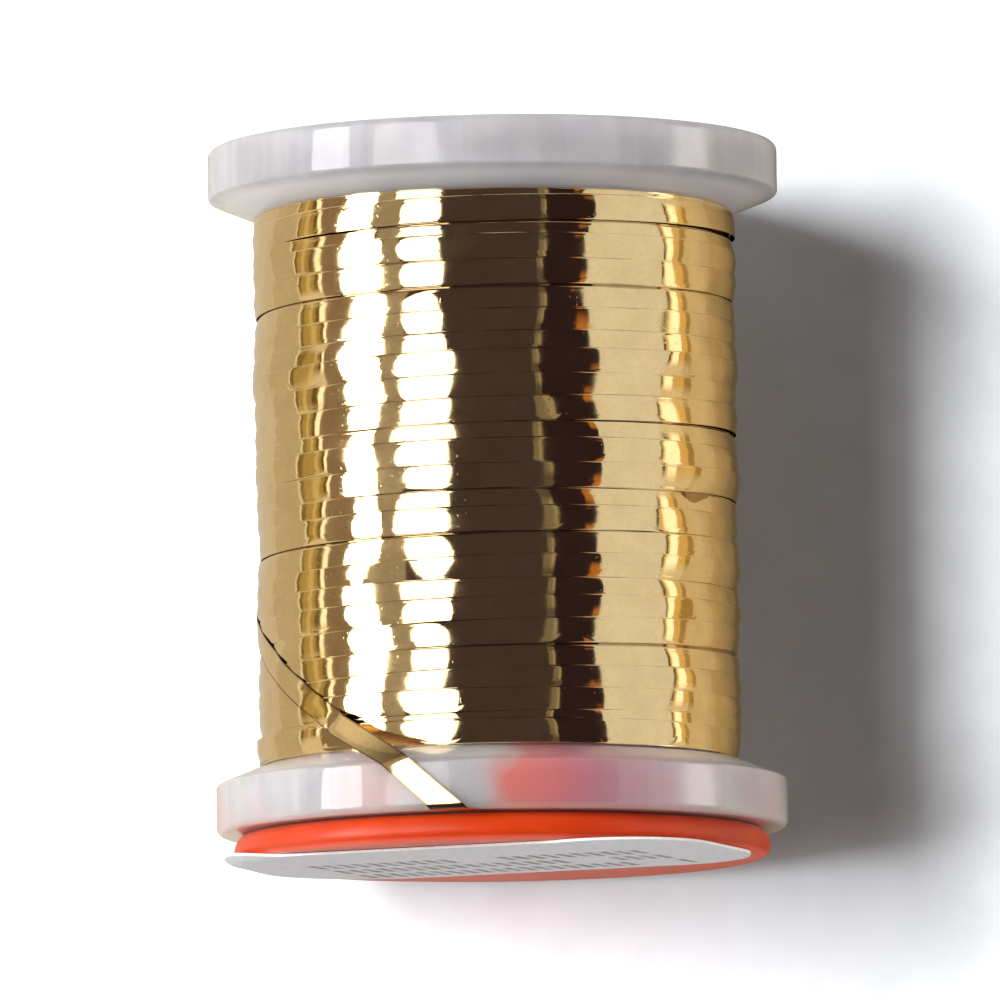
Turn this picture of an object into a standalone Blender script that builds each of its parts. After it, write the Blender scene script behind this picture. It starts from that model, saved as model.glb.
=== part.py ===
"""A small spool of flat gold tinsel, lying on its side, with a snap-in end cap.

The spool's axis is Y: the cap is at -Y and the webbed far end at +Y. The origin is on the axis, at
the middle of the whole length. Radii of turned pieces are measured to the middles of their flats.
"""

from math import ceil, cos, hypot, pi, radians, sin, tan

import bmesh
import bpy
from mathutils import Matrix, Vector

# ---------------------------------------------------------------- driving dimensions, in metres

SIDES = 48  # flats round every turned piece, one of them underneath

FLANGE_RADIUS = 0.01125
BODY_LENGTH = 0.02704
RIM_WIDTH = 0.00195
BEVEL_ANGLE = radians(21)
RIM_ROUND = 0.00035
HUB_RADIUS = 0.00875
BORE_RADIUS = 0.00795
GROOVE_RADIUS = 0.00808
GROOVE_WIDTH = 0.0007
GROOVE_DEPTH = 0.0026  # from the open end to the middle of the groove
WEB_THICKNESS = 0.0012
WEB_RECESS = 0.0007
RECESS_RADIUS = 0.0094
BOBBIN_HOLE_RADIUS = 0.0035
COLLAR_RADIUS = 0.0046
COLLAR_LENGTH = 0.0013

CAP_PROUD = 0.00114
CAP_SEAT_GAP = 0.00025
CAP_RADIUS = 0.01054
CAP_FACE_RADIUS = 0.01006
CAP_SEAT_RADIUS = 0.01018
CAP_WIDEST = 0.00043  # from the cap's face to where it is widest
PLUG_RADIUS = 0.00784
PLUG_WALL = 0.0009
PLUG_LENGTH = 0.0033
BEAD_RADIUS = 0.00791
BEAD_WIDTH = 0.0005

LABEL_LENGTH = 0.0202
LABEL_WIDTH = 0.0125
LABEL_CORNER = 0.0044
LABEL_THICKNESS = 0.00012
LABEL_GAP = 0.00005
LABEL_TILT = radians(23)
LABEL_MIDDLE = (-0.0006, 0.0019)  # across and up from the cap's centre

WINDING_RADIUS = 0.00942
WINDING_STEP = 0.00005  # every other band of turns lies this much lower
WINDING_BANDS = 11
FILM_GAP = 0.00005

TAPE_THICKNESS = 0.0001
TAPE_WIDTH = 0.008
TAPE_SWEEP = radians(80)

TAIL_WIDTH = 0.00102
TAIL_THICKNESS = 0.00007
TAIL_LIFT_OFF = -0.00893  # the Y at which the loose end leaves the winding
TAIL_STEP = 0.00025

TOTAL_LENGTH = BODY_LENGTH + CAP_PROUD + LABEL_GAP + LABEL_THICKNESS
FAR_FACE = TOTAL_LENGTH / 2
OPEN_FACE = FAR_FACE - BODY_LENGTH
CAP_FACE = OPEN_FACE - CAP_PROUD
CAP_SEAT = OPEN_FACE - CAP_SEAT_GAP


def bevel_shift(radius):
    """How far a flange's sloping inner face has moved along the axis at this radius."""
    return (FLANGE_RADIUS - radius) * tan(BEVEL_ANGLE)


def far_inner_face(radius):
    return FAR_FACE - RIM_WIDTH - bevel_shift(radius)


def open_inner_face(radius):
    return OPEN_FACE + RIM_WIDTH + bevel_shift(radius)


# ---------------------------------------------------------------- tools


def clear_scene():
    for item in list(bpy.data.objects):
        bpy.data.objects.remove(item, do_unlink=True)


def make_material(name, colour, roughness, metallic=0.0):
    material = bpy.data.materials.new(name)
    material.use_nodes = True
    shader = material.node_tree.nodes["Principled BSDF"]
    shader.inputs["Base Color"].default_value = (*colour, 1.0)
    shader.inputs["Roughness"].default_value = roughness
    shader.inputs["Metallic"].default_value = metallic
    return material


def finish_object(name, bm, material, sharp_angle=radians(30)):
    bmesh.ops.recalc_face_normals(bm, faces=bm.faces)
    mesh = bpy.data.meshes.new(name)
    bm.to_mesh(mesh)
    bm.free()
    mesh.shade_smooth()
    mesh.set_sharp_from_angle(angle=sharp_angle)
    mesh.materials.append(material)
    item = bpy.data.objects.new(name, mesh)
    bpy.context.scene.collection.objects.link(item)
    return item


def arc(radius, along, width, height, start, end, steps=3):
    """Points of an elliptical corner about (radius, along), from start to end in degrees."""
    points = []
    for index in range(steps + 1):
        angle = radians(start + (end - start) * index / steps)
        points.append((radius + width * cos(angle), along + height * sin(angle)))
    return points


def turned(name, outline, material):
    """Spins a closed outline of (radius, y) points about the Y axis."""
    bm = bmesh.new()
    to_corner = 1 / cos(pi / SIDES)
    half_flat = Matrix.Rotation(pi / SIDES, 3, "Y")
    verts = [
        bm.verts.new(half_flat @ Vector((radius * to_corner, y, 0))) for radius, y in outline
    ]
    edges = [bm.edges.new((verts[index - 1], verts[index])) for index in range(len(verts))]
    bmesh.ops.spin(
        bm, geom=verts + edges, axis=(0, 1, 0), angle=2 * pi, steps=SIDES, use_merge=True
    )
    return finish_object(name, bm, material)


def lofted(name, sections, material):
    """Joins sections of the same number of points into one closed solid with flat ends."""
    bm = bmesh.new()
    rings = [[bm.verts.new(point) for point in section] for section in sections]
    for near, far in zip(rings, rings[1:]):
        for index in range(len(near)):
            bm.faces.new((near[index - 1], near[index], far[index], far[index - 1]))
    bm.faces.new(rings[0])
    bm.faces.new(rings[-1])
    return finish_object(name, bm, material)


def around(angle, radius, y):
    """A point at this angle from +Z towards -X."""
    return Vector((-radius * sin(angle), y, radius * cos(angle)))


# ---------------------------------------------------------------- pieces


def spool_body(material):
    web_outer = FAR_FACE - WEB_RECESS
    web_inner = web_outer - WEB_THICKNESS
    groove = OPEN_FACE + GROOVE_DEPTH
    lead_in = 0.0002
    corner = RIM_ROUND
    outline = [(BOBBIN_HOLE_RADIUS, web_outer)]
    outline += [(RECESS_RADIUS - WEB_RECESS / 3, web_outer), (RECESS_RADIUS, FAR_FACE)]
    outline += arc(FLANGE_RADIUS - corner, FAR_FACE - corner, corner, corner, 90, 0)
    outline += [(FLANGE_RADIUS, FAR_FACE - RIM_WIDTH), (HUB_RADIUS, far_inner_face(HUB_RADIUS))]
    outline += [(HUB_RADIUS, open_inner_face(HUB_RADIUS)), (FLANGE_RADIUS, OPEN_FACE + RIM_WIDTH)]
    outline += arc(FLANGE_RADIUS - corner, OPEN_FACE + corner, corner, corner, 0, -90)
    outline += [(BORE_RADIUS + lead_in, OPEN_FACE), (BORE_RADIUS, OPEN_FACE + lead_in)]
    outline += [(BORE_RADIUS, groove - GROOVE_WIDTH / 2), (GROOVE_RADIUS, groove)]
    outline += [(BORE_RADIUS, groove + GROOVE_WIDTH / 2), (BORE_RADIUS, web_inner)]
    outline += [(COLLAR_RADIUS, web_inner), (COLLAR_RADIUS, web_inner - COLLAR_LENGTH)]
    outline += [(BOBBIN_HOLE_RADIUS, web_inner - COLLAR_LENGTH)]
    return turned("spool_body", outline, material)


def end_cap(material):
    widest = CAP_FACE + CAP_WIDEST
    plug_inner = PLUG_RADIUS - PLUG_WALL
    plug_tip = CAP_SEAT + PLUG_LENGTH
    bead = OPEN_FACE + GROOVE_DEPTH
    tip_round = 0.0003
    outline = [(BOBBIN_HOLE_RADIUS, CAP_SEAT), (BOBBIN_HOLE_RADIUS, CAP_FACE)]
    outline += arc(
        CAP_FACE_RADIUS, widest, CAP_RADIUS - CAP_FACE_RADIUS, CAP_WIDEST, -90, 0
    )
    outline += arc(
        CAP_SEAT_RADIUS, widest, CAP_RADIUS - CAP_SEAT_RADIUS, CAP_SEAT - widest, 30, 90, 2
    )
    outline += [(PLUG_RADIUS, CAP_SEAT), (PLUG_RADIUS, bead - BEAD_WIDTH / 2)]
    outline += [(BEAD_RADIUS, bead), (PLUG_RADIUS, bead + BEAD_WIDTH / 2)]
    outline += [(PLUG_RADIUS - tip_round, plug_tip), (plug_inner, plug_tip)]
    outline += [(plug_inner, CAP_SEAT)]
    return turned("end_cap", outline, material)


def cap_label(material):
    """The sticker: a flat sheet with round corners, which hangs over the cap's edge."""
    back = CAP_FACE - LABEL_GAP
    straight_x = LABEL_LENGTH / 2 - LABEL_CORNER
    straight_z = LABEL_WIDTH / 2 - LABEL_CORNER
    outline = []
    for side_x, side_z, start in ((1, 1, 0), (-1, 1, 90), (-1, -1, 180), (1, -1, 270)):
        outline += arc(
            side_x * straight_x,
            side_z * straight_z,
            LABEL_CORNER,
            LABEL_CORNER,
            start,
            start + 90,
            5,
        )
    sections = []
    for y in (back, back - LABEL_THICKNESS):
        ring = []
        for across, up in outline:
            x = across * cos(LABEL_TILT) - up * sin(LABEL_TILT) + LABEL_MIDDLE[0]
            z = across * sin(LABEL_TILT) + up * cos(LABEL_TILT) + LABEL_MIDDLE[1]
            ring.append(Vector((x, y, z)))
        sections.append(ring)
    return lofted("cap_label", sections, material)


def starting_tape(material):
    """A short piece of tape bent round the hub, under the first turns."""
    inner = HUB_RADIUS / cos(pi / SIDES) + FILM_GAP / 2
    outer = inner + TAPE_THICKNESS
    steps = 12
    sections = []
    for index in range(steps + 1):
        angle = TAPE_SWEEP * (index / steps - 0.5)
        sections.append(
            [
                around(angle, inner, -TAPE_WIDTH / 2),
                around(angle, outer, -TAPE_WIDTH / 2),
                around(angle, outer, TAPE_WIDTH / 2),
                around(angle, inner, TAPE_WIDTH / 2),
            ]
        )
    return lofted("starting_tape", sections, material)


def tinsel_winding(material):
    """The turns as one ring, from slope to slope, in bands that lie a little higher and lower."""
    inner = HUB_RADIUS / cos(pi / SIDES) + FILM_GAP + TAPE_THICKNESS
    clear = FILM_GAP / cos(BEVEL_ANGLE)
    top = far_inner_face(WINDING_RADIUS) - clear
    bottom = open_inner_face(WINDING_RADIUS) + clear
    band = (top - bottom) / WINDING_BANDS
    outline = [
        (inner, open_inner_face(inner) + clear),
        (inner, far_inner_face(inner) - clear),
    ]
    for index in range(WINDING_BANDS):
        radius = WINDING_RADIUS - (WINDING_STEP if index % 2 else 0)
        upper = top - band * index
        outline += [(radius, upper), (radius, upper - band)]
    return turned("tinsel_winding", outline, material)


def tail_profile():
    """The (radius, y) line that the loose end's underside follows, from the winding to the gap."""
    under_cap = OPEN_FACE - (CAP_SEAT_GAP - TAIL_THICKNESS) / 2
    on_winding = WINDING_RADIUS / cos(pi / SIDES) + FILM_GAP / 2
    on_rim = FLANGE_RADIUS / cos(pi / SIDES) + FILM_GAP
    corner = RIM_ROUND
    profile = [(on_winding, 0.0), (on_winding, TAIL_LIFT_OFF)]
    profile += [(on_rim, OPEN_FACE + RIM_WIDTH)]
    profile += arc(on_rim - corner, under_cap + corner, corner, corner, 0, -90, 4)
    profile += [(CAP_SEAT_RADIUS - 0.0022, under_cap)]
    return profile


def along_profile(profile, distance, lift):
    """The (radius, y) at this distance past the lift-off point, raised by lift."""
    distance += hypot(profile[1][0] - profile[0][0], profile[1][1] - profile[0][1])
    for (radius, y), (next_radius, next_y) in zip(profile, profile[1:]):
        length = hypot(next_radius - radius, next_y - y)
        if distance <= length or (next_radius, next_y) == profile[-1]:
            share = distance / length
            outward = (-(next_y - y) / length, (next_radius - radius) / length)
            return (
                radius + (next_radius - radius) * share + outward[0] * lift,
                y + (next_y - y) * share + outward[1] * lift,
            )
        distance -= length


def tinsel_tail(material):
    """The loose end: a flat strip, slantwise round the winding, over the rim and under the cap."""
    profile = tail_profile()
    # (angle round the axis, distance past the lift-off point)
    route = [(98, -0.0054), (42.4, 0.0), (21.4, 0.00265), (10.5, 0.0046), (-4.0, 0.0071)]
    sections = []
    for (angle, past), (next_angle, next_past) in zip(route, route[1:]):
        mean_radius = along_profile(profile, (past + next_past) / 2, 0)[0]
        slant = hypot(radians(angle - next_angle) * mean_radius, next_past - past)
        half_sweep = TAIL_WIDTH / 2 * slant / (next_past - past) / mean_radius
        steps = ceil(slant / TAIL_STEP)
        for index in range(steps + (next_angle == route[-1][0])):
            middle = radians(angle + (next_angle - angle) * index / steps)
            distance = past + (next_past - past) * index / steps
            section = []
            for lift, sides in ((0, (-1, 0, 1)), (TAIL_THICKNESS, (1, 0, -1))):
                radius, y = along_profile(profile, distance, lift)
                section += [around(middle + side * half_sweep, radius, y) for side in sides]
            sections.append(section)
    return lofted("tinsel_tail", sections, material)


def build():
    clear_scene()
    milky = make_material("milky_plastic", (0.80, 0.78, 0.77), 0.35)
    orange = make_material("orange_plastic", (0.86, 0.10, 0.02), 0.35)
    paper = make_material("label_paper", (0.60, 0.57, 0.54), 0.7)
    gold = make_material("gold_film", (0.83, 0.58, 0.24), 0.12, 1.0)
    clear = make_material("clear_tape", (0.78, 0.76, 0.70), 0.4)
    spool_body(milky)
    starting_tape(clear)
    tinsel_winding(gold)
    tinsel_tail(gold)
    cap = end_cap(orange)
    label = cap_label(paper)
    label.parent = cap


build()
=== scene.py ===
"""The looks of a small spool of flat gold tinsel, lying on its side on a white table.

Everything is in metres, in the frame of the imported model: Y runs along the spool's axis, from the
cap to the far end, and Z is up. Each piece stands for a plain CAD node of the same size and place,
apart from the layer under the winding's turns. The starting tape stays a CAD node.
"""

import random
from math import atan2, cos, hypot, pi, radians, sin, sqrt, tan

import bmesh
import bpy
import numpy as np
from mathutils import Matrix, Vector


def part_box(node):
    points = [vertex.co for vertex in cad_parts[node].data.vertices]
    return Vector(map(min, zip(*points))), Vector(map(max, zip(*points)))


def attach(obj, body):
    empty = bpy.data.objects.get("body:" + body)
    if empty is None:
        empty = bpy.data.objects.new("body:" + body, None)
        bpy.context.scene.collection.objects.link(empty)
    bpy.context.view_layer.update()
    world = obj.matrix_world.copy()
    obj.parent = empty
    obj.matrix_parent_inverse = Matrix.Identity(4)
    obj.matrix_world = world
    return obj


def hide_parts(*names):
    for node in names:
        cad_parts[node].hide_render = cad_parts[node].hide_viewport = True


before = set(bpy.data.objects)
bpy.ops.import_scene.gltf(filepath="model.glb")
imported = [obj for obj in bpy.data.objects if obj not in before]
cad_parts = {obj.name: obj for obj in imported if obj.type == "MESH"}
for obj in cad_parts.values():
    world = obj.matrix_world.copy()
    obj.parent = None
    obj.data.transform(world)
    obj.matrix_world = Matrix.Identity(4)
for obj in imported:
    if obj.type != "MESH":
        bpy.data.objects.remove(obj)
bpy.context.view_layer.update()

# ---------------------------------------------------------------- sizes

MM = 0.001
TURN = 2 * pi

body_low, body_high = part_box("spool_body")
cap_low, cap_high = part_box("end_cap")
label_low, label_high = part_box("cap_label")

FLANGE_RADIUS = body_high.z
FAR_FACE = body_high.y
OPEN_FACE = body_low.y
CAP_FACE = cap_low.y
PLUG_TIP = cap_high.y
CAP_RADIUS = cap_high.z
FLOOR = -FLANGE_RADIUS

# The spool. A flange's inner face moves along the axis by BEVEL times the way in from the rim.
RIM_WIDTH = 1.95 * MM
RIM_ROUND = 0.3 * MM
RIM_INNER_ROUND = 0.12 * MM
BEVEL = tan(radians(21))
HUB_RADIUS = 8.75 * MM
BORE_RADIUS = 7.95 * MM
WEB_RECESS = 0.7 * MM
WEB_THICKNESS = 1.2 * MM
RECESS_RADIUS = 9.4 * MM
HOLE_RADIUS = 3.5 * MM
COLLAR_RADIUS = 4.6 * MM
COLLAR_LENGTH = 1.3 * MM
SNAP_INSET = 2.6 * MM

# The cap. Its edge is widest at CAP_WIDEST behind its face.
CAP_SEAT = OPEN_FACE - 0.05 * MM
CAP_FACE_RADIUS = 10.06 * MM
CAP_SEAT_RADIUS = 10.05 * MM
CAP_WIDEST = 0.43 * MM
PLUG_RADIUS = 7.84 * MM
PLUG_WALL = 0.9 * MM

# The sticker on the cap's face. Its hanging ends bend back from BEND_RADIUS on.
STICKER_LENGTH = 20.2 * MM
STICKER_WIDTH = 12.5 * MM
STICKER_CORNER = 4.6 * MM
STICKER_TILT = radians(23)
STICKER_BACK = 0.03 * MM
STICKER_FRONT = 0.13 * MM
BEND_RADIUS = CAP_FACE_RADIUS - 0.2 * MM
CURL = 0.20 / MM
SLANT = 0.06

# The tinsel. Heights on the winding are measured from BASE_RADIUS.
FILM_WIDTH = 1.02 * MM
FILM_THICKNESS = 0.03 * MM
WINDING_RADIUS = 9.44 * MM
BASE_RADIUS = WINDING_RADIUS - 0.03 * MM
UNDER_RADIUS = WINDING_RADIUS - 0.14 * MM
FILM_SHARP = 50

SMOOTH_SIDES = 256


# ---------------------------------------------------------------- mesh tools


def add_piece(name, mesh, body, node, material, sharp=30):
    """Makes the mesh a piece that rides on a body and stands for a CAD node, if one is named.
    Edges that turn by more than sharp, in degrees, stay sharp."""
    mesh.shade_smooth()
    mesh.set_sharp_from_angle(angle=radians(sharp))
    mesh.materials.append(material)
    piece = bpy.data.objects.new(name, mesh)
    bpy.context.scene.collection.objects.link(piece)
    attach(piece, body)
    if node:
        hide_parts(node)
    return piece


def mesh_from(name, bm):
    """Turns the faces outwards and makes a mesh of them."""
    bmesh.ops.recalc_face_normals(bm, faces=bm.faces)
    mesh = bpy.data.meshes.new(name)
    bm.to_mesh(mesh)
    bm.free()
    return mesh


def arc(radius, along, width, height, start, end, steps=8):
    """Points of an elliptical corner about (radius, along), from start to end in degrees."""
    turns = [radians(start + (end - start) * index / steps) for index in range(steps + 1)]
    return [(radius + width * cos(turn), along + height * sin(turn)) for turn in turns]


def turned(name, outline):
    """Spins a closed outline of (radius, y) points about the Y axis."""
    bm = bmesh.new()
    verts = [bm.verts.new((radius, y, 0)) for radius, y in outline]
    edges = [bm.edges.new((verts[index - 1], verts[index])) for index in range(len(verts))]
    bmesh.ops.spin(
        bm,
        geom=verts + edges,
        axis=(0, 1, 0),
        angle=TURN,
        steps=SMOOTH_SIDES,
        use_merge=True,
    )
    return mesh_from(name, bm)


def make_uneven(mesh, seed, least_radius, height, count=12):
    """Gives the moulded surfaces beyond a radius the low waves of a real moulding."""
    draw = random.Random(seed)
    waves = [
        (draw.randint(5, 23), draw.uniform(-1.2, 1.2) / MM, draw.uniform(0, TURN))
        for _ in range(count)
    ]
    for vert in mesh.vertices:
        x, y, z = vert.co
        radius = hypot(x, z)
        if radius > least_radius:
            angle = atan2(x, z)
            total = sum(sin(pace * angle + along * y + phase) / pace for pace, along, phase in waves)
            share = 1 + height * min(total - 1.0, 0.0) / radius
            vert.co = (x * share, y, z * share)


def around(angle, radius, y):
    """Points at these angles from +Z towards -X."""
    return np.stack([-radius * np.sin(angle), y + 0 * angle, radius * np.cos(angle)], -1)


def film(name, outer, feather=0.15):
    """A thin closed strip: outer holds rows of points across its outer face. Its edges are
    feathered to a share of its thickness, and a float attribute is 1 along them, which the gold
    paints as shade."""
    normal = np.cross(np.gradient(outer, axis=0), np.gradient(outer, axis=1))
    normal /= np.linalg.norm(normal, axis=-1, keepdims=True)
    columns = outer.shape[1]
    kept = [0, columns // 2, columns - 1]
    depth = np.array([feather, 1.0, feather])[None, :, None] * FILM_THICKNESS
    inner = outer[:, kept] - normal[:, kept] * depth
    bm = bmesh.new()
    edge = bm.verts.layers.float.new("painted_shade_edge")
    top = [[bm.verts.new(point) for point in row] for row in outer.tolist()]
    bottom = [[bm.verts.new(point) for point in row] for row in inner.tolist()]
    for here, there, low, high in zip(top, top[1:], bottom, bottom[1:]):
        here[0][edge] = here[-1][edge] = 1.0
        for index in range(columns - 1):
            bm.faces.new((here[index], there[index], there[index + 1], here[index + 1]))
        for index in range(2):
            bm.faces.new((low[index], low[index + 1], high[index + 1], high[index]))
        bm.faces.new((here[0], low[0], high[0], there[0]))
        bm.faces.new((here[-1], there[-1], high[-1], low[-1]))
    for end in (0, -1):
        bm.faces.new((*top[end], *bottom[end][::-1]))
    return mesh_from(name, bm)


# ---------------------------------------------------------------- material tools


class Paint:
    """A Principled material, and short ways to add nodes to it."""

    def __init__(self, name, **values):
        self.material = bpy.data.materials.new(name)
        self.material.use_nodes = True
        self.tree = self.material.node_tree
        self.shader = self.tree.nodes["Principled BSDF"]
        self.set(self.shader, values)

    def set(self, node, values):
        """Gives inputs their values, and links those whose value is another node's output."""
        for key, value in values.items():
            socket = node.inputs[key if isinstance(key, int) else key.replace("_", " ")]
            if isinstance(value, bpy.types.NodeSocket):
                self.tree.links.new(value, socket)
            else:
                socket.default_value = value

    def add(self, kind, output=0, inputs=None, **settings):
        """Adds a node and gives one of its outputs."""
        node = self.tree.nodes.new(kind)
        for key, value in settings.items():
            setattr(node, key, value)
        self.set(node, inputs or {})
        return node.outputs[output]

    def math(self, operation, first, second=0.0):
        return self.add("ShaderNodeMath", operation=operation, inputs={0: first, 1: second})

    def product(self, first, *others):
        """Multiplies any number of patterns and numbers."""
        for other in others:
            first = self.math("MULTIPLY", first, other)
        return first

    def place(self):
        """The point on the piece, in the row frame."""
        return self.add("ShaderNodeTexCoord", output="Object")

    def axes(self):
        """The place's x, y and z."""
        split = self.tree.nodes.new("ShaderNodeSeparateXYZ")
        self.tree.links.new(self.place(), split.inputs[0])
        return split.outputs

    def round_place(self, around_scale, along_scale):
        """Coordinates round the spool's axis on one scale, and along and out from it on another."""
        x, y, z = self.axes()
        angle = self.math("ARCTAN2", x, z)
        flat = self.add("ShaderNodeCombineXYZ", inputs={0: x, 1: z})
        radius = self.add("ShaderNodeVectorMath", output=1, operation="LENGTH", inputs={0: flat})
        return self.add(
            "ShaderNodeCombineXYZ",
            inputs={
                0: self.math("MULTIPLY", angle, around_scale),
                1: self.math("MULTIPLY", y, along_scale),
                2: self.math("MULTIPLY", radius, along_scale),
            },
        )

    def noise(self, scale, detail):
        """Noise that is alike in all directions, with scale cells to the metre."""
        return self.add(
            "ShaderNodeTexNoise",
            inputs={"Vector": self.place(), "Scale": scale, "Detail": detail},
        )

    def round_noise(self, around_scale, along_scale, detail):
        """Noise that is drawn out round the spool's axis, or along it."""
        place = self.round_place(around_scale, along_scale)
        return self.add(
            "ShaderNodeTexNoise",
            inputs={"Vector": place, "Scale": 1.0, "Detail": detail},
        )

    def between(self, factor, low, high, from_low=0.35, from_high=0.65):
        """Maps a pattern onto a range of numbers."""
        return self.add(
            "ShaderNodeMapRange",
            inputs={
                "Value": factor,
                "From Min": from_low,
                "From Max": from_high,
                "To Min": low,
                "To Max": high,
            },
        )

    def blend(self, factor, first, second):
        """Mixes two colours."""
        node = self.tree.nodes.new("ShaderNodeMix")
        node.data_type = "RGBA"
        for index, value in ((0, factor), (6, first), (7, second)):
            socket = node.inputs[index]
            if isinstance(value, bpy.types.NodeSocket):
                self.tree.links.new(value, socket)
            else:
                socket.default_value = value if isinstance(value, float) else (*value, 1.0)
        return node.outputs[2]

    def bump(self, height, distance, strength):
        """Gives the surface a pattern's relief."""
        normal = self.add(
            "ShaderNodeBump",
            inputs={"Height": height, "Distance": distance, "Strength": strength},
        )
        self.set(self.shader, {"Normal": normal})


# ---------------------------------------------------------------- materials

MILK_GREY = (0.41, 0.395, 0.425)
MILK_PALE = (0.58, 0.57, 0.59)
MILK_CREAM = (0.68, 0.62, 0.54)
# Painted glow: the flanges' sloped inner faces are painted paler.
MILK_SLOPE_GLOW = (0.90, 0.87, 0.89)

# The plug's glow, painted into the open flange's colour. It rises and falls between angles from
# overhead towards +X, and turns from red to lilac between two more. Its borders wander by up to
# GLOW_WANDER.
GLOW_RED = (0.86, 0.235, 0.215)
GLOW_LILAC = (0.60, 0.22, 0.29)
# Painted glow on the open face beside the cap.
GLOW_ON_FACE = (0.98, 0.62, 0.52)
GLOW_RISE = (radians(-8), radians(2))
GLOW_FALL = (radians(13), radians(48))
GLOW_TURN = (radians(6), radians(20))
GLOW_WANDER = radians(9)

ORANGE = ((0.38, 0.026, 0.002), (0.45, 0.035, 0.003))
# Painted light: paler, pinker orange for the cap's flat face.
ORANGE_FACE_LIT = ((0.80, 0.110, 0.062), (0.87, 0.140, 0.088))

GOLD = (0.92, 0.70, 0.37)
# Painted shade: the under layer's darker gold.
GOLD_SHADED_BELOW = (0.45, 0.28, 0.12)
# Painted shade along the film's edges.
EDGE_SHADE_BROWN = (0.07, 0.035, 0.012)

PAPER = ((0.60, 0.585, 0.575), (0.68, 0.665, 0.655))
INK = (0.17, 0.15, 0.15)


def milky_plastic():
    """Cloudy plastic. The cap's plug's glow through the flange beside it is painted on in uneven
    patches, and the sloped inner faces and the open face by the cap are painted paler as glow.
    """
    paint = Paint(
        "milky_plastic",
        Roughness=0.3,
        IOR=1.5,
        Specular_IOR_Level=0.0,
        Transmission_Weight=0.5,
        Subsurface_Weight=1.0,
        Subsurface_Radius=(1.0, 1.0, 1.0),
        Subsurface_Scale=0.0045,
        Coat_Weight=1.0,
        Coat_Roughness=0.05,
    )
    x, y, z = paint.axes()
    angle = paint.math("ARCTAN2", x, z)

    broad = paint.noise(170.0, 3.0)
    flow = paint.round_noise(5.0, 420.0, 4.0)
    streak = paint.round_noise(22.0, 60.0, 3.0)
    cloud = paint.math("ADD", paint.product(flow, 0.35), paint.product(streak, 0.2))
    cloud = paint.math("ADD", cloud, paint.product(broad, 0.45))
    colour = paint.blend(paint.between(cloud, 0.0, 1.0, 0.4, 0.6), MILK_GREY, MILK_PALE)
    cream = paint.between(paint.round_noise(4.0, 150.0, 3.0), 0.0, 0.5, 0.5, 0.7)
    colour = paint.blend(cream, colour, MILK_CREAM)

    gap_middle = (FAR_FACE + OPEN_FACE) / 2
    gap_half = (FAR_FACE - OPEN_FACE) / 2 - RIM_WIDTH
    aside = paint.math("ABSOLUTE", paint.math("SUBTRACT", y, gap_middle))
    # Painted glow: the sloped inner faces are painted paler than the rims.
    slope_glow = paint.between(aside, 0.85, 0.0, gap_half - 0.25 * MM, gap_half - 0.05 * MM)
    colour = paint.blend(slope_glow, colour, MILK_SLOPE_GLOW)

    # Painted glow: the plug's light through the flange is painted into the base colour in patches.
    patches = paint.noise(230.0, 2.0)
    wander = paint.math("ADD", angle, paint.between(patches, -GLOW_WANDER, GLOW_WANDER))
    rise = paint.between(wander, 0.0, 0.9, *GLOW_RISE)
    fall = paint.between(wander, 1.0, 0.0, *GLOW_FALL)
    faint = paint.between(patches, 0.0, 0.4, 0.46, 0.68)
    glow = paint.math("ADD", paint.product(rise, fall), faint)
    near_plug = paint.between(y, 1.0, 0.0, PLUG_TIP - 0.6 * MM, PLUG_TIP + 0.6 * MM)
    tint = paint.blend(paint.between(angle, 0.0, 1.0, *GLOW_TURN), GLOW_RED, GLOW_LILAC)
    colour = paint.blend(paint.product(glow, near_plug), colour, tint)
    # Painted glow: the open face by the cap is painted pale pink, lightening the shaded crevice
    # there.
    glow_by_cap = paint.between(y, 0.5, 0.0, OPEN_FACE + 0.05 * MM, OPEN_FACE + 0.25 * MM)
    paint.set(paint.shader, {"Base_Color": paint.blend(glow_by_cap, colour, GLOW_ON_FACE)})
    paint.bump(cloud, 0.03 * MM, 0.25)
    return paint.material


def orange_plastic():
    """Deep orange plastic, painted paler and pinker on the cap's flat face as painted light."""
    paint = Paint(
        "orange_plastic",
        Roughness=0.38,
        IOR=1.5,
        Specular_IOR_Level=0.5,
        Subsurface_Weight=0.3,
        Subsurface_Radius=(1.0, 0.3, 0.1),
        Subsurface_Scale=0.0010,
    )
    cloud = paint.noise(260.0, 3.0)
    fresh = paint.blend(paint.between(cloud, 0.0, 1.0), *ORANGE)
    # Painted light: the flat face is painted paler, as if lit by the bright table.
    lit_face = paint.blend(paint.between(cloud, 0.0, 1.0, 0.4, 0.6), *ORANGE_FACE_LIT)
    y = paint.axes()[1]
    on_face = paint.between(y, 0.9, 0.0, CAP_FACE + 0.03 * MM, CAP_FACE + 0.2 * MM)
    paint.set(paint.shader, {"Base_Color": paint.blend(on_face, fresh, lit_face)})
    paint.bump(paint.noise(2600.0, 4.0), 0.01 * MM, 0.3)
    return paint.material


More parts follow.
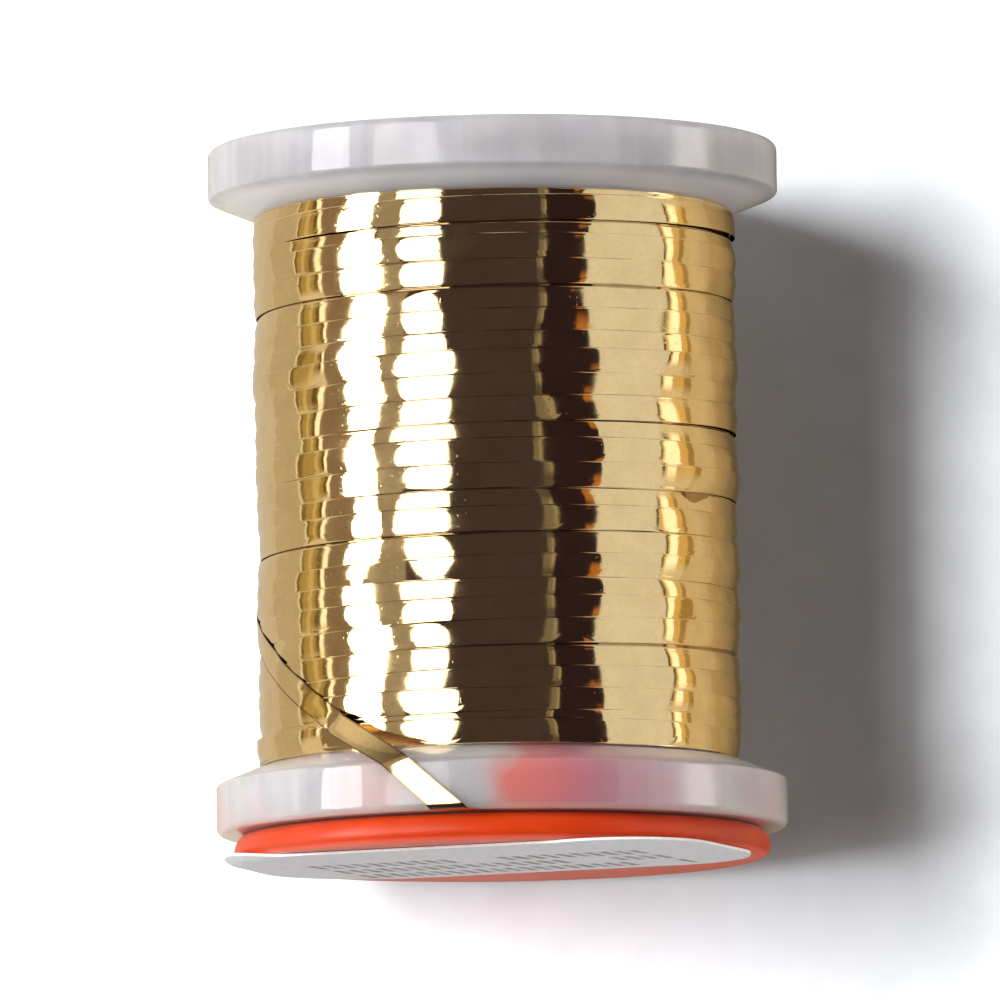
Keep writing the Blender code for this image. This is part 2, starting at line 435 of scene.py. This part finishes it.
def gold_film(name, colour):
    """Mirror film: faint smudges, scratches and specks, and painted brown shade along its edges."""
    paint = Paint(name, Metallic=1.0)
    smudge = paint.round_noise(9.0, 900.0, 3.0)
    grain = paint.noise(5200.0, 3.0)
    smudged = tuple(channel * 0.90 for channel in colour)
    grainy = tuple(channel * 0.75 for channel in colour)
    foil = paint.blend(paint.between(smudge, 0.0, 1.0), smudged, colour)
    foil = paint.blend(paint.between(grain, 0.0, 0.25), foil, grainy)
    # Painted shade: the film's edges are painted dark brown, for the dark lines between the turns.
    edge = paint.add("ShaderNodeAttribute", output=2, attribute_name="painted_shade_edge")
    edge_shade = paint.between(edge, 0.0, 0.9, 0.25, 1.0)
    paint.set(
        paint.shader,
        {
            "Base_Color": paint.blend(edge_shade, foil, EDGE_SHADE_BROWN),
            "Roughness": paint.between(smudge, 0.045, 0.085),
        },
    )
    scratches = paint.round_noise(14.0, 9000.0, 2.0)
    specks = paint.between(paint.noise(7000.0, 0.0), 0.0, 1.4, 0.78, 0.84)
    paint.bump(paint.math("ADD", scratches, specks), 0.002 * MM, 0.3)
    return paint.material


def label_paper():
    """Pale paper with three rows of plain grey bars, which form no letters."""
    row_pitch = 2.5 * MM
    row_share = 0.34
    bar_pitch = 0.62 * MM
    bar_share = 0.27
    word_length = 1.9 * MM
    blank_share = 0.25
    print_length = 14.4 * MM
    print_height = 8.0 * MM

    paint = Paint("label_paper", Roughness=0.6, Specular_IOR_Level=0.3)
    fibre = paint.noise(4200.0, 4.0)
    paper = paint.blend(paint.between(fibre, 0.0, 1.0), *PAPER)
    x, y, z = paint.axes()
    tilt_cos, tilt_sin = cos(STICKER_TILT), sin(STICKER_TILT)
    along = paint.math("ADD", paint.product(x, tilt_cos), paint.product(z, tilt_sin))
    up = paint.math("SUBTRACT", paint.product(z, tilt_cos), paint.product(x, tilt_sin))

    row = paint.math("DIVIDE", up, row_pitch)
    bar = paint.math("DIVIDE", along, bar_pitch)
    word = paint.math("DIVIDE", along, word_length)
    cell = paint.add(
        "ShaderNodeCombineXYZ",
        inputs={0: paint.math("ROUND", word), 1: paint.math("ROUND", row)},
    )
    chance = paint.add("ShaderNodeTexWhiteNoise", inputs={"Vector": cell}, noise_dimensions="2D")
    ink = paint.product(
        paint.math("LESS_THAN", paint.math("PINGPONG", row, 0.5), row_share),
        paint.math("LESS_THAN", paint.math("PINGPONG", bar, 0.5), bar_share),
        paint.math("GREATER_THAN", chance, blank_share),
        paint.math("LESS_THAN", paint.math("ABSOLUTE", along), print_length / 2),
        paint.math("LESS_THAN", paint.math("ABSOLUTE", up), print_height / 2),
        paint.math("LESS_THAN", y, CAP_FACE - (STICKER_BACK + STICKER_FRONT) / 2),
        paint.between(paint.noise(2600.0, 2.0), 0.5, 0.95),
    )
    paint.set(paint.shader, {"Base_Color": paint.blend(ink, paper, INK)})
    paint.bump(fibre, 0.01 * MM, 0.3)
    return paint.material


def clear_tape():
    """Yellowed, hazy adhesive tape."""
    paint = Paint("clear_tape", Roughness=0.25, Alpha=0.6)
    haze = paint.between(paint.noise(1500.0, 3.0), 0.0, 1.0)
    colour = paint.blend(haze, (0.74, 0.71, 0.62), (0.82, 0.79, 0.70))
    paint.set(paint.shader, {"Base_Color": colour})
    return paint.material


def table_top():
    """A matt, cool white table."""
    paint = Paint("table_top", Roughness=0.8, Specular_IOR_Level=0.0)
    grain = paint.noise(500.0, 5.0)
    colour = paint.blend(paint.between(grain, 0.0, 1.0), (0.80, 0.83, 0.87), (0.84, 0.87, 0.91))
    paint.set(paint.shader, {"Base_Color": colour})
    paint.bump(grain, 0.02 * MM, 0.2)
    return paint.material


# ---------------------------------------------------------------- spool, cap and sticker


def far_inner_face(radius):
    """Where the far flange's inner face is along Y, at a radius."""
    return FAR_FACE - RIM_WIDTH - (FLANGE_RADIUS - radius) * BEVEL


def open_inner_face(radius):
    """Where the open flange's inner face is along Y, at a radius."""
    return OPEN_FACE + RIM_WIDTH + (FLANGE_RADIUS - radius) * BEVEL


def make_spool(material):
    """The drum tube, its two flanges, and the web with a hole and a collar at the far end."""
    edge = RIM_INNER_ROUND
    to_slope = 70
    corner = RIM_ROUND
    chamfer = 0.1 * MM
    recess_foot = 0.4 * MM
    bore_chamfer = 0.2 * MM
    groove_half = 0.35 * MM
    groove_depth = 0.13 * MM
    web_outer = FAR_FACE - WEB_RECESS
    web_inner = web_outer - WEB_THICKNESS
    collar_end = web_inner - COLLAR_LENGTH
    groove = OPEN_FACE + SNAP_INSET
    outline = arc(HOLE_RADIUS + edge, web_outer - edge, -edge, edge, 0, 90, 4)
    outline += [
        (RECESS_RADIUS - recess_foot, web_outer),
        (RECESS_RADIUS - recess_foot / 2, web_outer + chamfer),
        (RECESS_RADIUS, FAR_FACE - chamfer),
        (RECESS_RADIUS + chamfer, FAR_FACE),
    ]
    outline += arc(FLANGE_RADIUS - corner, FAR_FACE - corner, corner, corner, 90, 0)
    outline += arc(FLANGE_RADIUS - edge, FAR_FACE - RIM_WIDTH + edge, edge, edge, 0, -to_slope, 4)
    outline += [
        (HUB_RADIUS, far_inner_face(HUB_RADIUS)),
        (HUB_RADIUS, open_inner_face(HUB_RADIUS)),
    ]
    outline += arc(FLANGE_RADIUS - edge, OPEN_FACE + RIM_WIDTH - edge, edge, edge, to_slope, 0, 4)
    outline += arc(FLANGE_RADIUS - corner, OPEN_FACE + corner, corner, corner, 0, -90)
    outline += [
        (BORE_RADIUS + bore_chamfer, OPEN_FACE),
        (BORE_RADIUS, OPEN_FACE + bore_chamfer),
        (BORE_RADIUS, groove - groove_half),
        (BORE_RADIUS + groove_depth, groove),
        (BORE_RADIUS, groove + groove_half),
        (BORE_RADIUS, web_inner),
        (COLLAR_RADIUS, web_inner),
        (COLLAR_RADIUS, collar_end),
        (HOLE_RADIUS, collar_end),
    ]
    mesh = turned("spool_shell", outline)
    make_uneven(mesh, seed=21, least_radius=RECESS_RADIUS + 0.5 * MM, height=0.03 * MM)
    return add_piece("spool_shell", mesh, "spool", "spool_body", material)


def make_cap(material):
    """The rounded disc with its central hole, and the ring plug with its snap bead."""
    widest = CAP_FACE + CAP_WIDEST
    face_round = CAP_RADIUS - CAP_FACE_RADIUS
    seat_round = CAP_RADIUS - CAP_SEAT_RADIUS
    plug_inner = PLUG_RADIUS - PLUG_WALL
    bead = OPEN_FACE + SNAP_INSET
    bead_half = 0.25 * MM
    bead_height = 0.07 * MM
    lead_in = 0.3 * MM
    chamfer = 0.1 * MM
    outline = [(HOLE_RADIUS, CAP_SEAT), (HOLE_RADIUS, CAP_FACE)]
    outline += arc(CAP_FACE_RADIUS, widest, face_round, -CAP_WIDEST, 90, 0, 10)
    outline += arc(CAP_SEAT_RADIUS, widest, seat_round, CAP_SEAT - widest, 10, 90, 8)
    outline += [
        (PLUG_RADIUS, CAP_SEAT),
        (PLUG_RADIUS, bead - bead_half),
        (PLUG_RADIUS + bead_height, bead),
        (PLUG_RADIUS, bead + bead_half),
        (PLUG_RADIUS - lead_in, PLUG_TIP),
        (plug_inner + chamfer, PLUG_TIP),
        (plug_inner, PLUG_TIP - chamfer),
        (plug_inner, CAP_SEAT),
    ]
    mesh = turned("cap_moulding", outline)
    return add_piece("cap_moulding", mesh, "cap", "end_cap", material)


def make_sticker(material):
    """A sheet of paper with round corners. Where it hangs over the cap's edge, its end at -X
    curls back and the rest slants back a little."""
    rings = 26
    corner_steps = 14
    middle = Vector((label_low.x + label_high.x, 0, label_low.z + label_high.z)) / 2
    half_length = STICKER_LENGTH / 2 - STICKER_CORNER
    half_width = STICKER_WIDTH / 2 - STICKER_CORNER
    border = []
    for side_x, side_z, start in ((1, 1, 0), (-1, 1, 90), (-1, -1, 180), (1, -1, 270)):
        corner = (side_x * half_length, side_z * half_width, STICKER_CORNER, STICKER_CORNER)
        border += arc(*corner, start, start + 90, corner_steps)
    turn = Matrix.Rotation(-STICKER_TILT, 3, "Y")
    bm = bmesh.new()

    def point(across, up, share, lift):
        flat = turn @ Vector((across * share, 0, up * share)) + middle
        over = max(0.0, hypot(flat.x, flat.z) - BEND_RADIUS)
        bend = CURL * over**2 if flat.x < 0 else SLANT * over
        return bm.verts.new((flat.x, CAP_FACE - lift + bend, flat.z))

    rims = []
    for lift in (STICKER_FRONT, STICKER_BACK):
        hub = point(0, 0, 0, lift)
        sheet = []
        for ring in range(1, rings + 1):
            sheet.append([point(across, up, ring / rings, lift) for across, up in border])
        for index in range(len(border)):
            bm.faces.new((hub, sheet[0][index - 1], sheet[0][index]))
        for inner, outer in zip(sheet, sheet[1:]):
            for index in range(len(border)):
                bm.faces.new((inner[index - 1], outer[index - 1], outer[index], inner[index]))
        rims.append(sheet[-1])
    front, back = rims
    for index in range(len(border)):
        bm.faces.new((front[index - 1], back[index - 1], back[index], front[index]))
    mesh = mesh_from("paper_sticker", bm)
    return add_piece("paper_sticker", mesh, "cap", "cap_label", material)


# ---------------------------------------------------------------- tinsel


class Waves:
    """A smooth random curve: a sum of sines with paces from low to high, as steep as asked for."""

    def __init__(self, seed, low, high, count, slope):
        draw = random.Random(seed)
        self.parts = [
            (draw.uniform(low, high), draw.uniform(0, TURN), draw.uniform(0.5, 1.0))
            for _ in range(count)
        ]
        self.scale = slope / sqrt(sum(size * size for _, _, size in self.parts) / 2)

    def __call__(self, place):
        total = sum(size / pace * np.sin(pace * place + phase) for pace, phase, size in self.parts)
        return total * self.scale


STATIONS = 240
TURNS = 26
END_TURNS = 1.2
STEEPNESS = TURN * WINDING_RADIUS
ACROSS = np.array([-0.5, -0.48, -0.46, -0.44, -0.3, -0.12, 0.12, 0.3, 0.44, 0.46, 0.48, 0.5])
EDGE_START = 0.44
EDGE_DROP = 0.018 * MM
LAP_GAP = 1.15 * FILM_THICKNESS
LAP_TESTS = (0.5, 0.4, 0.25, 0.1, -0.05, -0.2)
LOOK_AHEAD = 14
SOFTENING = 5.0
MOST_LIFT = 0.16 * MM


def common_relief(angle, y):
    """Low waves of the whole winding, which all turns follow."""
    count = 30
    height = 0.012 * WINDING_RADIUS
    draw = random.Random(11)
    total = 0
    for _ in range(count):
        pace = draw.randint(2, 10)
        along_pace = draw.uniform(-2.4, 2.4) / MM
        total = total + np.sin(pace * angle + along_pace * y + draw.uniform(0, TURN)) / pace
    return total * height / sqrt(count / 2)


class Winding:
    """One strip, wound from the far flange to the open one, each turn lapping the one before.

    At each station, middle is the strip's place along Y, centre its height, crown how far its
    middle stands above its edges, lean its tilt, and lift how far its +Y edge is raised."""

    def __init__(self):
        count = TURNS * STATIONS + 1
        turn = np.arange(count) / STATIONS
        self.angle = TURN * turn + pi
        sway = Waves(3, low=1.2, high=6.5, count=11, slope=0.36)(turn)
        sway = sway + Waves(5, low=9.0, high=22.0, count=8, slope=0.12)(turn)
        start, end = END_TURNS, TURNS - END_TURNS
        calm = np.interp(turn, [start, start + 1, end - 1, end], [0, 1, 1, 0])
        share = np.interp(turn, [start, end], [0, 1]) + sway * calm / TURNS
        side_room = 0.52 * FILM_WIDTH
        first = far_inner_face(WINDING_RADIUS) - side_room
        last = open_inner_face(WINDING_RADIUS) + side_room
        self.middle = first + (last - first) * np.clip(share, 0, 1)

        def ripple(seed, low, high, count, slope):
            """Waves of low to high to the turn. Slope is the rise for each step round the drum."""
            return Waves(seed, TURN * low, TURN * high, count, slope * STEEPNESS)(turn)

        self.centre = ripple(7, low=2, high=16, count=30, slope=0.013)
        self.centre = self.centre + Waves(12, low=1.0, high=5.0, count=8, slope=0.07 * MM)(turn)
        self.crown = 0.010 * MM + ripple(8, low=8, high=34, count=30, slope=0.030)
        self.lean = Waves(9, low=0.5, high=TURN * 1.5, count=12, slope=0.0011 * STEEPNESS)(turn)
        self.lean = self.lean + ripple(10, low=3, high=18, count=20, slope=0.009)
        self.lift = np.zeros(count)
        self.settle()

    def height(self, stations, across):
        """How far the outer face is from the relief that all turns share."""
        rise = self.centre[stations] + self.lean[stations] * across * 2
        rise = rise + self.lift[stations] * (0.5 + across)
        return rise + self.crown[stations] * (1 - 4 * across**2)

    def settle(self):
        """Lifts each turn's far side just enough to lie on the two turns before it."""
        count = len(self.angle)
        needed = np.zeros(count + LOOK_AHEAD)
        reach = np.arange(-LOOK_AHEAD, LOOK_AHEAD + 1)
        weight = np.exp(-((reach / SOFTENING) ** 2))
        weight /= weight.sum()
        start = STATIONS
        while start < count:
            end = min(start + STATIONS - LOOK_AHEAD, count)
            ahead = np.arange(start, min(end + LOOK_AHEAD, count))
            for back in (STATIONS, 2 * STATIONS):
                below = ahead - back
                fair = below >= 0
                for across in LAP_TESTS:
                    y = self.middle[ahead] + FILM_WIDTH * across
                    other = (y - self.middle[below]) / FILM_WIDTH
                    gap = self.height(below, other) + LAP_GAP - self.height(ahead, across)
                    hit = fair & (np.abs(other) <= 0.5)
                    lift = np.where(hit, gap / (0.5 + across), 0)
                    needed[ahead] = np.maximum(needed[ahead], lift)
            spread = np.arange(start, end)[:, None] + reach[None, :]
            smoothed = (needed[np.clip(spread, 0, count - 1)] * weight).sum(1)
            self.lift[start:end] = np.minimum(smoothed, MOST_LIFT)
            start = end

    def top(self, angle, y):
        """The radius of the winding's outermost face at one place."""
        in_a_gap = -0.1 * MM
        station = round((angle - pi) / TURN % 1 * STATIONS)
        stations = station + STATIONS * np.arange(TURNS)
        across = (y - self.middle[stations]) / FILM_WIDTH
        heights = np.where(np.abs(across) <= 0.5, self.height(stations, across), in_a_gap)
        return BASE_RADIUS + common_relief(angle, y) + heights.max()

    def outer(self):
        """Rows of points across the strip's outer face, whose edges are rounded off."""
        stations = np.arange(len(self.angle))[:, None]
        angles = self.angle[:, None] + 0 * ACROSS[None, :]
        ys = self.middle[:, None] + FILM_WIDTH * ACROSS[None, :]
        past = np.clip((np.abs(ACROSS) - EDGE_START) / (0.5 - EDGE_START), 0, None)
        radius = BASE_RADIUS + common_relief(angles, ys) - EDGE_DROP * past[None, :] ** 2
        radius = radius + self.height(stations, ACROSS[None, :])
        return around(angles, radius, ys)


def make_winding(winding, material):
    mesh = film("tinsel_turns", winding.outer())
    node = "tinsel_winding"
    return add_piece("tinsel_turns", mesh, "spool", node, material, FILM_SHARP)


def make_under_layer(material):
    """The layer below, which shows in the gaps between the turns, in a darker gold painted as their
    shade.
    """
    inner = HUB_RADIUS + 0.1 * MM
    gap = 0.05 * MM
    outline = [
        (inner, open_inner_face(inner) + gap),
        (inner, far_inner_face(inner) - gap),
        (UNDER_RADIUS, far_inner_face(UNDER_RADIUS) - gap),
        (UNDER_RADIUS, open_inner_face(UNDER_RADIUS) + gap),
    ]
    mesh = turned("tinsel_under_layer", outline)
    return add_piece("tinsel_under_layer", mesh, "spool", None, material)


# The loose end's two edges, the one towards the far flange first. Each point is the angle from
# overhead towards -X in degrees, the radius and y in millimetres.
TAIL_ROUTE = [
    ((215, 9.36, -2.05), (215, 9.36, -3.05)),
    ((168, 9.54, -2.20), (170, 9.54, -3.20)),
    ((130, 9.58, -2.60), (132, 9.58, -3.60)),
    ((98, 9.58, -3.45), (101, 9.58, -4.38)),
    ((80, 9.58, -4.75), (83.3, 9.58, -5.60)),
    ((40.5, 9.60, -8.66), (44.3, 9.60, -9.42)),
    ((39.4, 9.70, -8.80), (43.2, 9.70, -9.56)),
    ((19.8, 11.27, -10.58), (25.0, 11.29, -10.94)),
    ((18.4, 11.38, -10.78), (24.0, 11.34, -11.08)),
    ((7.2, 11.42, -12.72), (14.9, 11.32, -12.70)),
    ((6.8, 11.32, -12.86), (14.4, 11.24, -12.86)),
    ((3.6, 10.98, -12.89), (11.2, 10.95, -12.89)),
    ((-4.0, 10.50, -12.89), (3.0, 10.10, -12.89)),
]
TAIL_STEP = 0.07 * MM
TAIL_COLUMNS = 9
TAIL_START_DEPTH = 0.12 * MM
LIFT_OFF = 5


def make_tail(winding, material):
    """The loose end: off the winding, straight to the rim, over it and into the gap under the
    cap. It lies on the turns as far as the route's stop LIFT_OFF, and its run from the next stop
    to the one after is straight."""
    edges = [np.array(stops, dtype=float) for stops in zip(*TAIL_ROUTE)]
    middle = (edges[0] + edges[1]) / 2
    points = around(np.radians(middle[:, 0]), middle[:, 1] * MM, middle[:, 2] * MM)
    steps = np.linalg.norm(np.diff(points, axis=0), axis=1)
    length = np.concatenate([[0], np.cumsum(steps)])
    fine = np.arange(0, length[-1], TAIL_STEP)
    soften = np.array([1, 2, 3, 2, 1]) / 9
    sides = []
    for stops in edges:
        columns = []
        for column in stops.T:
            values = np.interp(fine, length, column)
            values[2:-2] = np.convolve(values, soften, "valid")
            columns.append(values)
        sides.append(np.stack([np.radians(columns[0]), columns[1] * MM, columns[2] * MM], -1))
    share = np.linspace(0, 1, TAIL_COLUMNS)[None, :, None]
    rows = sides[0][:, None] * (1 - share) + sides[1][:, None] * share

    lying = fine < length[LIFT_OFF]
    rest = np.array([[winding.top(angle, y) for angle, _, y in row] for row in rows[lying]])
    reach = 5
    for combine in (np.max, np.mean):
        padded = np.pad(rest, ((reach, reach), (1, 1)), "edge")
        windows = np.lib.stride_tricks.sliding_window_view(padded, (2 * reach + 1, 3))
        rest = combine(windows, axis=(2, 3))
    sunk = np.interp(fine[lying], length[[0, 1]], [-TAIL_START_DEPTH, 0])
    rows[lying, :, 1] = rest + FILM_THICKNESS + sunk[:, None]

    outer = around(rows[..., 0], rows[..., 1], rows[..., 2])
    first, last = np.searchsorted(fine, length[[LIFT_OFF + 1, LIFT_OFF + 2]])
    span = np.linspace(0, 1, last - first + 1)[:, None, None]
    outer[first : last + 1] = outer[first] * (1 - span) + outer[last] * span
    mesh = film("tinsel_loose_end", outer[:, ::-1])
    node = "tinsel_tail"
    return add_piece("tinsel_loose_end", mesh, "spool", node, material, FILM_SHARP)


# ---------------------------------------------------------------- table, lights and camera


def make_floor(material):
    """The table. The tinsel mirrors the room's own bands in its place."""
    bpy.ops.mesh.primitive_plane_add(size=8, location=(0, 0, FLOOR))
    floor = bpy.context.object
    floor.name = "table"
    floor.data.materials.append(material)
    floor.visible_glossy = False


LIGHT_DISTANCE = 2.5
WHITE = (1, 1, 1)
WARM_WHITE = (1.0, 0.95, 0.88)


def softbox(
    name, low, high, radiance, near=-19, far=25, mirrored=True, seen_through=True, colour=WHITE
):
    """An area light. From the spool it spans low to high, in degrees from overhead towards -X,
    and near to far, in degrees towards +Y. A fill light isn't mirrored, and one that isn't
    seen_through doesn't show through the plastic."""
    middle = radians((low + high) / 2)
    data = bpy.data.lights.new(name, "AREA")
    data.shape = "ELLIPSE" if mirrored else "RECTANGLE"
    data.color = colour
    data.size = 2 * LIGHT_DISTANCE * tan(radians(high - low) / 2)
    ends = [LIGHT_DISTANCE * tan(radians(end)) for end in (near, far)]
    data.size_y = ends[1] - ends[0]
    data.energy = radiance * pi * data.size * data.size_y * (pi / 4 if mirrored else 1)
    light = bpy.data.objects.new(name, data)
    place = Vector((-sin(middle) * LIGHT_DISTANCE, sum(ends) / 2, cos(middle) * LIGHT_DISTANCE))
    light.matrix_world = Matrix.Translation(place) @ Matrix.Rotation(-middle, 4, "Y")
    light.visible_camera = False
    light.visible_glossy = mirrored
    light.visible_transmission = seen_through
    bpy.context.scene.collection.objects.link(light)


def make_lights():
    """Two softboxes that the tinsel mirrors, and the fills that light the table and the plastic."""
    softbox("low_softbox", 58.5, 77.5, radiance=7.5)
    softbox("high_softbox", 21.5, 47.5, radiance=3.0)
    softbox("high_fill", 22, 47, radiance=6, near=-9, far=20, mirrored=False)
    softbox(
        "high_fill_core", 27, 42, radiance=29, near=-9, far=20, mirrored=False, seen_through=False
    )
    softbox(
        "side_fill", -89.5, -83, radiance=44, near=-9, far=14, mirrored=False, colour=WARM_WHITE
    )


# The room as the spool mirrors it. Each row is the angle from overhead towards +X where a band
# ends, in degrees, its colour straight abreast of the spool, and its colour to either side.
TABLE_LIT = (0.57, 0.50, 0.37)
TABLE_SIDE = (0.80, 0.71, 0.54)
TABLE_WARM = (0.68, 0.57, 0.38)
SIDE_DARK = (0.28, 0.21, 0.15)
CEILING = (0.062, 0.045, 0.050)
NEAR_BLACK = (0.028, 0.016, 0.023)
WALL = (0.81, 0.80, 0.77)
GAP = (0.38, 0.33, 0.27)
BRIGHT = (1.6, 1.5, 1.3)
ROOM = [
    (-134, (0.66, 0.59, 0.48), (0.66, 0.59, 0.48)),
    (-111, TABLE_LIT, TABLE_LIT),
    (-109.6, (1.0, 0.95, 0.8), TABLE_SIDE),
    (-105.5, (0.24, 0.17, 0.06), TABLE_SIDE),
    (-101.5, (0.48, 0.35, 0.13), TABLE_SIDE),
    (-99.5, (0.70, 0.56, 0.27), TABLE_SIDE),
    (-96, (0.44, 0.32, 0.11), TABLE_SIDE),
    (-94, (0.16, 0.11, 0.035), TABLE_SIDE),
    (-90.6, BRIGHT, TABLE_SIDE),
    (-77, SIDE_DARK, SIDE_DARK),
    (-59, (0.19, 0.14, 0.11), SIDE_DARK),
    (-47, GAP, GAP),
    (-22, CEILING, CEILING),
    (21.8, CEILING, CEILING),
    (24, (0.22, 0.19, 0.14), (0.12, 0.10, 0.08)),
    (26.5, (0.40, 0.35, 0.24), (0.12, 0.10, 0.08)),
    (45, NEAR_BLACK, NEAR_BLACK),
    (49, NEAR_BLACK, (0.50, 0.20, 0.04)),
    (85.8, WALL, WALL),
    (88.2, (0.05, 0.04, 0.03), WALL),
    (90, (0.85, 0.64, 0.27), TABLE_SIDE),
    (94.6, BRIGHT, TABLE_SIDE),
    (101, (0.80, 0.55, 0.20), TABLE_SIDE),
    (104.5, (0.42, 0.28, 0.10), TABLE_WARM),
    (126, TABLE_WARM, TABLE_WARM),
    (180, (0.66, 0.50, 0.28), (0.66, 0.50, 0.28)),
]

# Abreast means that a direction's Y lies between these, with a soft border on each side.
ABREAST = (-0.10, -0.02, 0.22, 0.30)

# The room dims towards both ends of the spool's axis, by the size of a direction's Y, and under
# the spool's shaded side, by the angle from overhead towards +X.
END_DIM_START, END_DIM_FULL, END_DIM = 0.5, 0.8, 0.25
SHADE_START, SHADE_FULL, SHADE = radians(115), radians(160), 0.2

# The room's light is weaker on matt surfaces than in mirrors, and much weaker where the gold
# would throw it onto the table.
MATT_SHARE = 0.6
THROWN_SHARE = 0.3


def make_world():
    """The mirrored room, and plain white where the camera sees past the table."""
    world = bpy.data.worlds.new("room")
    world.use_nodes = True
    tree = world.node_tree

    def add(kind, inputs=None, **settings):
        node = tree.nodes.new(kind)
        for key, value in settings.items():
            setattr(node, key, value)
        for key, value in (inputs or {}).items():
            if isinstance(value, bpy.types.NodeSocket):
                tree.links.new(value, node.inputs[key])
            else:
                node.inputs[key].default_value = value
        return node

    def math(operation, first, second=0.0):
        return add("ShaderNodeMath", {0: first, 1: second}, operation=operation).outputs[0]

    def between(value, from_low, from_high, low=0.0, high=1.0):
        ends = {"From Min": from_low, "From Max": from_high, "To Min": low, "To Max": high}
        return add("ShaderNodeMapRange", {"Value": value, **ends}).outputs[0]

    brightest = max(max(abreast) for _, abreast, _ in ROOM)

    def ramp_of(share, column):
        """A ramp of the room's bands, with each colour as a share of the brightest."""
        ramp = add("ShaderNodeValToRGB", {0: share})
        ramp.color_ramp.interpolation = "CONSTANT"
        stops = ramp.color_ramp.elements
        start = -180
        for index, row in enumerate(ROOM):
            stop = stops[index] if index < 2 else stops.new(1.0)
            stop.position = (start + 180) / 360
            stop.color = (*(channel / brightest for channel in row[column]), 1)
            start = row[0]
        return ramp.outputs[0]

    direction = add("ShaderNodeTexCoord").outputs["Generated"]
    x, y, z = add("ShaderNodeSeparateXYZ", {0: direction}).outputs
    angle = math("ARCTAN2", x, z)
    share = between(angle, -pi, pi)
    straight, beside = ramp_of(share, 1), ramp_of(share, 2)
    outer_low, low, high, outer_high = ABREAST
    abreast = math("MULTIPLY", between(y, outer_low, low), between(y, outer_high, high))
    mix = add("ShaderNodeMix", {0: abreast, 6: beside, 7: straight}, data_type="RGBA")

    aside = math("ABSOLUTE", y)
    ray = add("ShaderNodeLightPath").outputs
    thrown = math("MULTIPLY", ray["Diffuse Depth"], ray["Is Glossy Ray"])
    strength = between(aside, END_DIM_START, END_DIM_FULL, brightest, END_DIM * brightest)
    for factor in (
        between(angle, SHADE_START, SHADE_FULL, 1.0, SHADE),
        between(ray["Is Glossy Ray"], 0.0, 1.0, MATT_SHARE, 1.0),
        between(thrown, 0.0, 1.0, 1.0, THROWN_SHARE),
    ):
        strength = math("MULTIPLY", strength, factor)

    background = tree.nodes["Background"]
    tree.links.new(mix.outputs[2], background.inputs["Color"])
    tree.links.new(strength, background.inputs["Strength"])
    pale = add("ShaderNodeBackground", {"Color": (1.0, 1.0, 1.0, 1)}).outputs[0]
    seen = {0: ray["Is Camera Ray"], 1: background.outputs[0], 2: pale}
    surface = add("ShaderNodeMixShader", seen).outputs[0]
    tree.links.new(surface, tree.nodes["World Output"].inputs["Surface"])
    bpy.context.scene.world = world


CAMERA_PLACE = Vector((0.0, -66.9, 647.5)) * MM
CAMERA_AIM = Vector((0.11, 0.25, 0.0)) * MM
CAMERA_ROLL = radians(-0.787)
CAMERA_LENS = 595.4


def make_camera():
    """A long lens, almost straight above the spool and a little towards its cap."""
    data = bpy.data.cameras.new("camera")
    data.lens = CAMERA_LENS
    data.sensor_width = 36
    data.clip_start, data.clip_end = 0.05, 20
    camera = bpy.data.objects.new("camera", data)
    camera.location = CAMERA_PLACE
    look = (CAMERA_AIM - CAMERA_PLACE).to_track_quat("-Z", "Y").to_matrix()
    camera.rotation_euler = (look @ Matrix.Rotation(CAMERA_ROLL, 3, "Z")).to_euler()
    bpy.context.scene.collection.objects.link(camera)
    bpy.context.scene.camera = camera
    bpy.context.scene.view_settings.view_transform = "Standard"


def main():
    gold = gold_film("gold_film", GOLD)
    make_spool(milky_plastic())
    make_cap(orange_plastic())
    make_sticker(label_paper())
    winding = Winding()
    make_winding(winding, gold)
    make_under_layer(gold_film("gold_film_painted_shade", GOLD_SHADED_BELOW))
    make_tail(winding, gold)
    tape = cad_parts["starting_tape"]
    tape.data.materials.clear()
    tape.data.materials.append(clear_tape())
    make_floor(table_top())
    make_lights()
    make_world()
    make_camera()


main()
